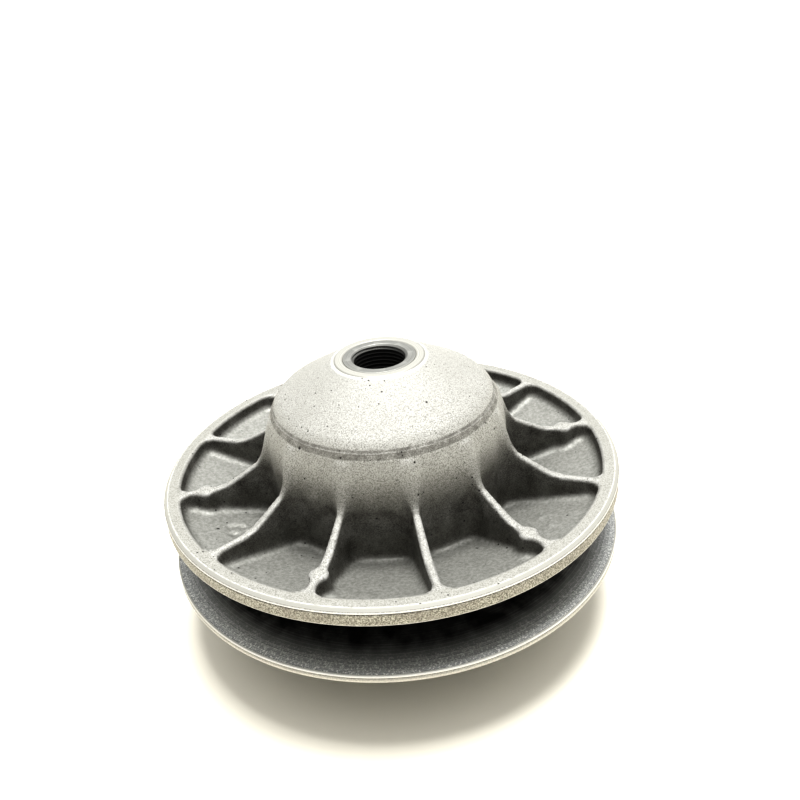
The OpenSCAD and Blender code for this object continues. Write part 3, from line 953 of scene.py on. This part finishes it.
def moving_sheave():
    """The lower sheave: its outline runs round the rim, in along the belt face and down to the skirt."""
    ledge, end = MOVING_BASE - LEDGE_Z, MOVING_BASE - SKIRT_Z
    crest = end - 1
    face = RibbedFace(skirt_hub, MOVING_RIM, lambda z: np.clip(crest - z, 0.5, 3.0),
                      floor_fillet=2.0, rise=crest / (KNEE_R - SKIRT_R - 2), crest=crest)
    face.added = [(pin_boss, 2.0)]
    face.holes = [(pin_hole, 0.4), (screw_hole, 0.3)]
    floor = belt_height(MOVING_RIM, LAND_R)
    corners = [
        (NET_END, 0), (SHEAVE_R - 0.8, 0, 0.4), (SHEAVE_R, -0.8, 0.5),
        (SHEAVE_R, 1.2 - MOVING_RIM, 0), (SHEAVE_R - 0.3, 1.15 - MOVING_RIM, 0),
        (SHEAVE_R - 0.3, 0.9 - MOVING_RIM, 0), (SHEAVE_R, 0.85 - MOVING_RIM, 0),
        (SHEAVE_R, 0.4 - MOVING_RIM, 0.2), (SHEAVE_R - 0.5, -MOVING_RIM, 0.3),
        (LAND_R, floor, 0.8), (CUP_R, floor, 0.5), (CUP_R, ledge, 0),
        (SKIRT_IN_R, ledge, 0.5), (SKIRT_IN_R, end, 0.4), (48, end)]
    casting("moving_sheave", "moving_half", face, (SKIRT_IN_R, NET_END), (-19.7, 7.3),
            rounded(corners)[1:-1], MOVING_BASE, -1, cell=1.05, columns=540)


# ---- Post ----
THREAD_R = 12.5
MOUTH_R = 13.9
JOURNAL_R = 17.0


def keyed_ring(z, columns, half_width=3.0, depth_r=13.8):
    """A ring of the shaft bore with the keyway's outline on its -X side."""
    angle = np.arange(columns) * 2 * math.pi / columns
    xyz = np.stack([SHAFT_R * np.cos(angle), SHAFT_R * np.sin(angle), np.full(columns, z)], axis=1)
    mouth = math.asin(half_width / SHAFT_R)
    turn = nearest(angle - math.pi, 2 * math.pi)
    inside = np.abs(turn) < mouth
    start = -SHAFT_R * math.cos(mouth)
    wall = start + depth_r
    way = turn[inside] / mouth * (wall + half_width)
    xyz[inside, 0] = -depth_r + np.maximum(np.abs(way) - half_width, 0)
    xyz[inside, 1] = -np.clip(way, -half_width, half_width)
    return xyz


def thread_grid(low, high, columns, depth=1.05, pitch=2.0, per_pitch=8):
    """The puller thread as a sheet of rows that climb one pitch in each turn."""
    rows = np.arange(-per_pitch, (high - low) / pitch * per_pitch + 1)
    k, j = np.meshgrid(rows, np.arange(columns + 1), indexing="ij")
    z = np.clip(low + pitch * (k / per_pitch + j / columns), low, high)
    phase = np.abs(2 * (k / per_pitch % 1) - 1)
    ridge = np.clip((phase - 0.25) / 0.6, 0, 1)
    r = THREAD_R + depth * ridge * np.clip((z - low) / 2.5, 0, 1)
    r = np.maximum(r, MOUTH_R - (high - z))
    angle = j * 2 * math.pi / columns
    xyz = np.stack([r * np.cos(angle), r * np.sin(angle), z], axis=-1).reshape(-1, 3)
    return xyz, grid_quads(len(rows), columns + 1)


def post(columns=192):
    """The post: head, journal, circlip groove, puller thread and the keyed shaft bore, as one skin."""
    low, top, thread_low, key_top = 1.5, DOME_TOP, DOME_TOP - 32, 80.0
    outline = rounded([
        (14.5, low), (JOURNAL_R, low, 0.5), (JOURNAL_R, 2.6, 0), (RING_R, 2.6, 0), (RING_R, 4.2, 0),
        (JOURNAL_R, 4.2, 0), (JOURNAL_R, 16, 0.2), (POST_R, 16, 0.5), (POST_R, HUB_BOSS_Z, 0.6),
        (HEAD_R, HUB_BOSS_Z, 0.2), (HEAD_R - 0.05, top, 0.35), (MOUTH_R, top)])
    outer = ring_points(spaced(outline, 12), columns, shift=0)
    shoulder = ring_points([(THREAD_R, thread_low), (SHAFT_R + 0.6, thread_low), (SHAFT_R, thread_low - 0.6),
                            (SHAFT_R, key_top)], columns, shift=0)
    thread, thread_faces = thread_grid(thread_low, top, columns)
    bore = [keyed_ring(z, columns) for z in (key_top, 40, low + 0.4)]
    xyz = np.concatenate([to_xyz(outer), thread, to_xyz(shoulder)] + bore)
    rings = ring_rows(len(outer) // columns, columns)
    lower = ring_rows(4 + len(bore), columns, len(outer) + len(thread))
    faces = np.concatenate([strip(rings), thread_faces + len(outer), strip(lower),
                            strip([lower[-1], rings[0]])])
    piece("post_turned", xyz, faces, "fixed_half", ["post"], [POST_STEEL], "post_steel", weld=True)


# ---- Torque cam ----
RAMP_LEAD = 43.0
RAMP_HIGH = 33.2
RAMP_START = -7.1 / RAMP_LEAD


def cam_field(r, theta, z):
    """Distance to the cam: foot, hub, ring and three ramps, less its bore, recess and foot pockets."""
    foot = round_cut(r - 50, z - FOOT_T, 1.0)
    hub = round_cut(r - 28, z - 16, 0.7)
    band = np.abs(r - 43) - 3.2
    turn = nearest(theta - STATION, THIRD)
    steep = np.sqrt(1 + (RAMP_LEAD / 43) ** 2)
    ramp_top = (z - (RAMP_HIGH - RAMP_LEAD * turn)) / steep
    ramp = round_cut(round_cut(band, ramp_top, 0.7), (RAMP_START - turn) * r, 0.7)
    wall = round_union(round_cut(band, z - 12, 0.7), ramp, 1.5)
    solid = round_union(round_union(foot, hub, 2.0), wall, 1.2)
    middle = nearest(theta - math.radians(60), THIRD)
    pocket = round_cut(np.abs(r - 36.5) - 7.5, (np.abs(middle) - math.radians(45)) * r, 3.0)
    pocket = round_cut(pocket, z - 3, 0.8)
    solid = round_cut(solid, -pocket, 0.5)
    recess = np.maximum(r - 24, z - 5.6)
    solid = round_cut(solid, -recess, 0.4)
    return round_cut(round_cut(solid, 17 - r, 0.4), -z, 0.8)


def torque_cam():
    p, quads, _ = surface_net(cam_field, (16.2, 51.2), (-1.1, 41.6), 0.7, 420)
    piece("torque_cam_casting", to_xyz(p), quads, "fixed_half", ["torque_cam"], [CAM], "cam_aluminium")


# ---- Rings, seats and bushings ----
def plain_ring(node, inner, edge, body, finish, slot, notches=()):
    """A ring turned to its CAD node's height and outer radius. Notches are oil grooves in the bore."""
    low, high = box_mm(node)
    outline = [(inner, low[2]), (high[0], low[2]), (high[0], high[2]), (inner, high[2])]
    for at in notches:
        middle = high[2] + (low[2] - high[2]) * at
        outline += [(inner, middle + 0.9, 0.1), (inner + 0.5, middle + 0.5, 0.2),
                    (inner + 0.5, middle - 0.5, 0.2), (inner, middle - 0.9, 0.1)]
    turned(node + "_turned", closed_loop(outline, edge), body, node, finish, slot)


def spring_seat(node, inner, body, wire_side):
    """A moulded seat, flat where the wire rests, with a chamfered outer edge at its back and a shallow
    lead-in.
    """
    low, high = box_mm(node)
    back = low[2] if wire_side > 0 else high[2]
    face = high[2] if wire_side > 0 else low[2]
    outline = [(inner + 0.7, back), (high[0] - 0.8, back), (high[0], back + 0.8 * wire_side),
               (high[0], face), (inner, face), (inner, back + 0.7 * wire_side)]
    turned(node + "_moulded", closed_loop(outline, 0.35), body, node, WHITE_NYLON, "white_nylon")


def spring_cup():
    low, high = box_mm("spring_cup")
    roof, sleeve = high[2], low[2] + 10
    outline = [
        (SKIRT_IN_R, low[2], 0.4), (CUP_R, low[2], 0.5), (CUP_R, roof - 2, 0), (CUP_R - 2, roof, 0.4),
        (24, roof, 0.2), (23, roof - 1, 0.2), (23, sleeve, 0.4), (28, sleeve, 0.9),
        (28, roof - 6, 0.8), (SKIRT_IN_R, roof - 6, 2.5)]
    turned("spring_cup_turned", spaced(closed_loop(outline, 0.4, 5), 9.0), "moving_half",
           "spring_cup", CUP, "turned_aluminium", columns=216)


def bumper():
    """The closing bumper: a soft ring with rounded lips and a groove round its outside."""
    low, high = box_mm("closing_bumper")
    middle = (low[2] + high[2]) / 2
    outline = [(20.3, low[2]), (high[0], low[2]), (high[0], middle - 0.6, 0.2), (high[0] - 0.6, middle, 0.2),
               (high[0], middle + 0.6, 0.2), (high[0], high[2]), (20.3, high[2])]
    turned("closing_bumper_moulded", closed_loop(outline, 0.5), "fixed_half", "closing_bumper",
           BLACK_NYLON, "black_nylon")


def coil_height(turn, low, high, end_pitch=5.7):
    """Height of the wire's middle: nearly closed end turns, then an even climb."""
    rise = (high - low - 2 * end_pitch) / (SPRING_TURNS - 2)
    climb = np.clip(turn, 0, 1) + np.clip(turn - SPRING_TURNS + 1, 0, 1)
    return low + end_pitch * climb + rise * np.clip(turn - 1, 0, SPRING_TURNS - 2)


def spring(sides=20, rings_per_turn=64, ground=1.2):
    """The coil spring, its end turns ground flat to sit on the seats."""
    low, high = (corner[2] for corner in box_mm("spring"))
    count = int(SPRING_TURNS * rings_per_turn) + 1
    turn = np.linspace(0, SPRING_TURNS, count)[:, None]
    around = np.arange(sides)[None, :] * 2 * math.pi / sides
    r = SPRING_R + WIRE_R * np.cos(around)
    z = coil_height(turn, low + ground, high - ground) + WIRE_R * np.sin(around)
    xyz = np.stack([r * np.cos(2 * math.pi * turn), r * np.sin(2 * math.pi * turn),
                    np.clip(z, low, high)], axis=-1)
    made = swept("spring_coil", xyz, "fixed_half", "spring", SPRING, "spring_steel")
    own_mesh(made)


# ---- Pieces swept through sections ----
def swept(name, sections, body, node, finish, slot, place=None):
    """A piece lofted through closed sections, with flat ends."""
    count, sides = sections.shape[:2]
    faces = capped(ring_rows(count, sides))
    return piece(name, sections.reshape(-1, 3), faces, body, [node], [finish], slot, weld=True, place=place)


def bevelled_box(width, height, bevel):
    """The corners of a rectangle's outline, bevelled."""
    w, h = width / 2, height / 2
    half = [(w - bevel, h), (w, h - bevel), (w, bevel - h), (w - bevel, -h)]
    return half + [(-x, -y) for x, y in half]


def open_ring(inner, outer, low, high, ends, steps, bevel=0.12):
    """Sections of a flat ring that is open at one side. inner and outer are radii at a share of the way
    round, and ends are the angles, inner then outer, that the open ends keep from the opening's middle."""
    share = np.linspace(0, 1, steps)
    rows = []
    for s in share:
        radii = np.array([inner(s), outer(s)])
        angles = [e + s * (2 * math.pi - 2 * e) for e in ends]
        middle, half = radii.mean(), (radii[1] - radii[0]) / 2
        row = []
        for x, y in bevelled_box(2, 2, bevel / half):
            side = (x + 1) / 2
            angle = angles[0] + (angles[1] - angles[0]) * side
            level = (low + high) / 2 + np.sign(y) * ((high - low) / 2 - (bevel if abs(y) < 1 else 0))
            row.append((middle + half * x, angle, level))
        rows.append(row)
    polar = np.array(rows)
    return to_xyz(polar.reshape(-1, 3)).reshape(polar.shape)


def retaining_ring():
    """An outside circlip: widest opposite its opening, with a lug at each end."""
    low, high = box_mm("retaining_ring")
    widest = 21.0

    def outer(share):
        edge = min(share, 1 - share)
        if edge < 0.055:
            return widest - 0.3
        return 18.4 + (widest - 18.4) * math.sin(math.pi * share) ** 1.5
    ends = (math.asin(4.6 / RING_R), math.asin(4.6 / widest))
    sections = open_ring(lambda s: RING_R, outer, low[2], high[2], ends, 121)
    sections[..., :2] *= -1
    swept("retaining_ring_formed", sections, "fixed_half", "retaining_ring", BLACK, "spring_steel")


def cam_key():
    """A parallel key with bevelled edges and ends."""
    low, high = box_mm("cam_key")
    middle = (low + high) / 2
    size = high - low
    rows = []
    for z, less in ((low[2], 0.4), (low[2] + 0.4, 0), (middle[2], 0), (high[2] - 0.4, 0), (high[2], 0.4)):
        outline = bevelled_box(size[0] - less, size[1] - less, 0.4)
        rows.append([(middle[0] + x, middle[1] + y, z) for x, y in outline])
    swept("cam_key_bar", np.array(rows), "fixed_half", "cam_key", BRIGHT, "bright_steel")


# ---- Rollers, pins, clips and grub screws ----
def roller(k):
    """A nylon roller with a crowned tread and a recessed ring in each face, on its bronze bush."""
    name, place = "roller_%d" % (k + 1), at_pin(k)
    inner, outer, bore, tread = 40.2, 45.8, 4.5, 7.0
    middle = (inner + outer) / 2
    steps = [(bore, 0, 0.15), (5.0, 0, 0.1), (5.3, 0.4, 0.2), (6.0, 0.4, 0.2), (6.3, 0, 0.1),
             (tread - 0.25, 0, 0.3), (tread - 0.02, 1.2, 2.0)]
    outline = [(r, inner + deep, edge) for r, deep, edge in steps] + [(tread, middle, 0)]
    outline += [(r, outer - deep, edge) for r, deep, edge in steps[::-1]]
    turned(name + "_moulded", closed_loop(outline), name, name, ROLLER_NYLON, "roller_nylon",
           columns=96, place=place)
    node = "roller_bush_%d" % (k + 1)
    low, high = inner - 0.1, outer + 0.1
    bush = closed_loop([(PIN_BORE, low), (bore, low), (bore, high), (PIN_BORE, high)], 0.2)
    turned(node + "_turned", bush, name, node, BRONZE, "bronze", columns=72, place=place)


def roller_pin(k):
    """A roller's pin, with a groove for its clip and domed ends."""
    node = "roller_pin_%d" % (k + 1)
    start, end, r = 38.4, 57.0, 3.0
    outline = rounded([
        (0, start), (2.3, start, 0), (r, start + 0.4, 0.15), (r, CLIP_AT, 0), (GROOVE_R, CLIP_AT, 0),
        (GROOVE_R, CLIP_AT + CLIP_T, 0), (r, CLIP_AT + CLIP_T, 0), (r, end - 0.7, 0.6), (2.2, end, 0.3),
        (0, end)])
    turned(node + "_turned", outline, "moving_half", node, BRIGHT, "bright_steel", columns=72,
           place=at_pin(k))


def roller_clip(k):
    """An E-clip: three teeth on the pin's groove, open towards the top."""
    node = "roller_clip_%d" % (k + 1)
    widest = 4.6

    def inner(share):
        tooth = abs(nearest(share - 0.5, 0.5)) < 0.06 or min(share, 1 - share) < 0.06
        return GROOVE_R if tooth else 3.1
    ends = (math.radians(80), math.asin(2.3 / widest))
    sections = open_ring(inner, lambda s: widest, CLIP_AT, CLIP_AT + CLIP_T, ends, 97, bevel=0.1)
    turn = sections.copy()
    turn[..., 0], turn[..., 1] = -sections[..., 1], sections[..., 0]
    swept(node + "_formed", turn, "moving_half", node, BLACK, "spring_steel", place=at_pin(k))


def grub_screws(columns=48):
    """Three grub screws with a thread, a cup point and a hex socket in the lower end."""
    low, high = (corner[2] for corner in box_mm("pin_lock_screws"))
    r, socket, pitch = 2.0, 1.15, 0.7
    angle = np.arange(columns) * 2 * math.pi / columns
    hexagon = socket * math.cos(math.pi / 6) / np.cos(nearest(angle, math.pi / 3))
    even = np.ones(columns)
    rows = [(hexagon * 0.05, low + 1.8), (hexagon * 0.9, low + 1.5), (hexagon, low + 1.45),
            (hexagon, low + 0.15), (hexagon * 1.12, low), (even * 1.6, low),
            (even * (r - 0.05), low + 0.35)]
    for k in range(int((high - low - 1.0) / pitch)):
        start = low + 0.45 + k * pitch
        rows += [(even * r, start), (even * (r - 0.32), start + 0.3), (even * r, start + 0.6)]
    rows += [(even * (r - 0.1), high - 0.35), (even * 1.3, high), (even * 1.0, high),
             (even * 0.05, high - 0.6)]
    single = np.concatenate([to_xyz(np.stack([ring, angle, np.full(columns, z)], axis=1))
                             for ring, z in rows])
    loop = capped(ring_rows(len(rows), columns))
    xyz, faces = [], []
    for k in range(3):
        turn = STATION + k * THIRD
        faces += [[v + len(single) * k for v in face] for face in loop]
        xyz.append(single + (SCREW_AT * math.cos(turn), SCREW_AT * math.sin(turn), 0))
    piece("pin_lock_screws_threaded", np.concatenate(xyz), faces, "moving_half", ["pin_lock_screws"],
          [BLACK], "black_steel", weld=True)


fixed_sheave()
moving_sheave()
post()
torque_cam()
spring_cup()
bumper()
spring()
spring_seat("lower_spring_seat", 29, "fixed_half", 1)
spring_seat("upper_spring_seat", 29, "spring_seat", -1)
for bushing in ("upper_bushing", "lower_bushing"):
    plain_ring(bushing, SLIDE_R, 0.4, "moving_half", BRONZE, "bronze", notches=(0.3, 0.7))
plain_ring("wiper_ring", 20.3, 0.8, "moving_half", FELT, "felt")
plain_ring("stop_sleeve", SLIDE_R, 0.6, "fixed_half", BRIGHT, "bright_steel", notches=(0.5,))
plain_ring("cam_washer", 17.1, 0.25, "fixed_half", BRIGHT, "bright_steel")
retaining_ring()
cam_key()
grub_screws()
for number in range(3):
    roller(number)
    roller_pin(number)
    roller_clip(number)
